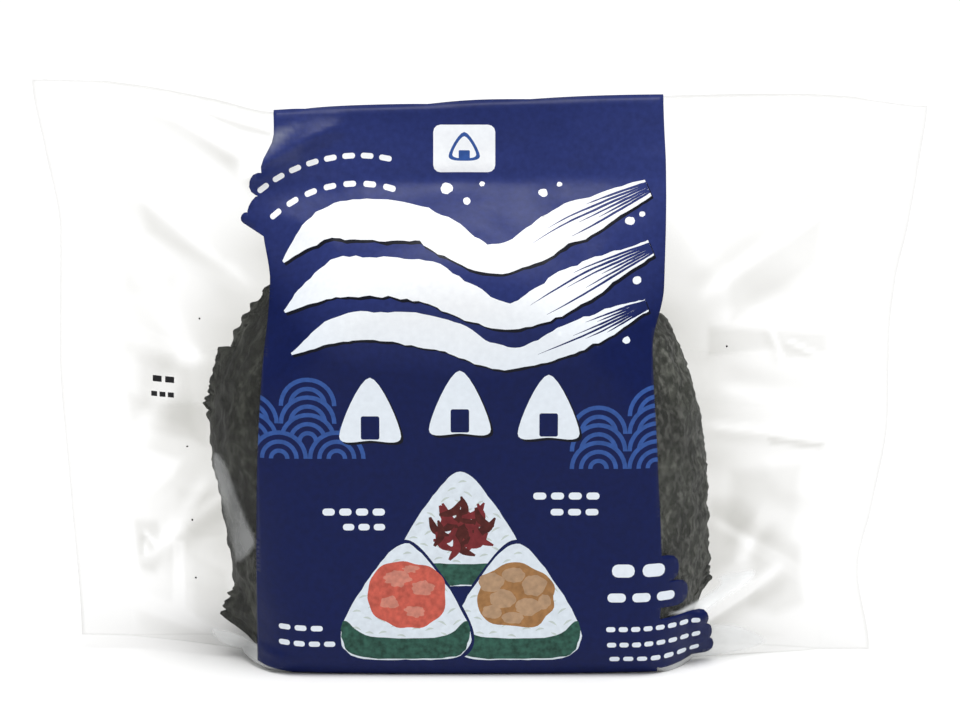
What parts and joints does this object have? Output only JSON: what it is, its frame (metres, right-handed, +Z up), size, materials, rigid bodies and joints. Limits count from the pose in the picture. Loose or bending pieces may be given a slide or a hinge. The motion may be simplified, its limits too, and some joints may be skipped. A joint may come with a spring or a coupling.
{
  "type": "wrapped rice ball pack",
  "caption": "Shut clear film pillow pack with a dark blue printed band round a large seaweed-wrapped rice ball, standing on its flat base.",
  "frame": {"origin": "centre of the bounding box at the level of the floor that the base rests on", "axes": "+X to the viewer's right along the width between the end seals, +Y to the back through the thickness, +Z up to the top fold"},
  "size_m": [0.1764, 0.045, 0.1162],
  "materials": {
    "clear_film": "clear thin plastic film, glossy, softly creased",
    "printed_film": "opaque dark blue print on the film, satin",
    "nori": "moist dark seaweed sheet, wrinkled and fibrous, seen through the clear film"
  },
  "bodies": {
    "root": {"pouch": "clear_film", "printed_band": "printed_film"}
  },
  "joints": []
}
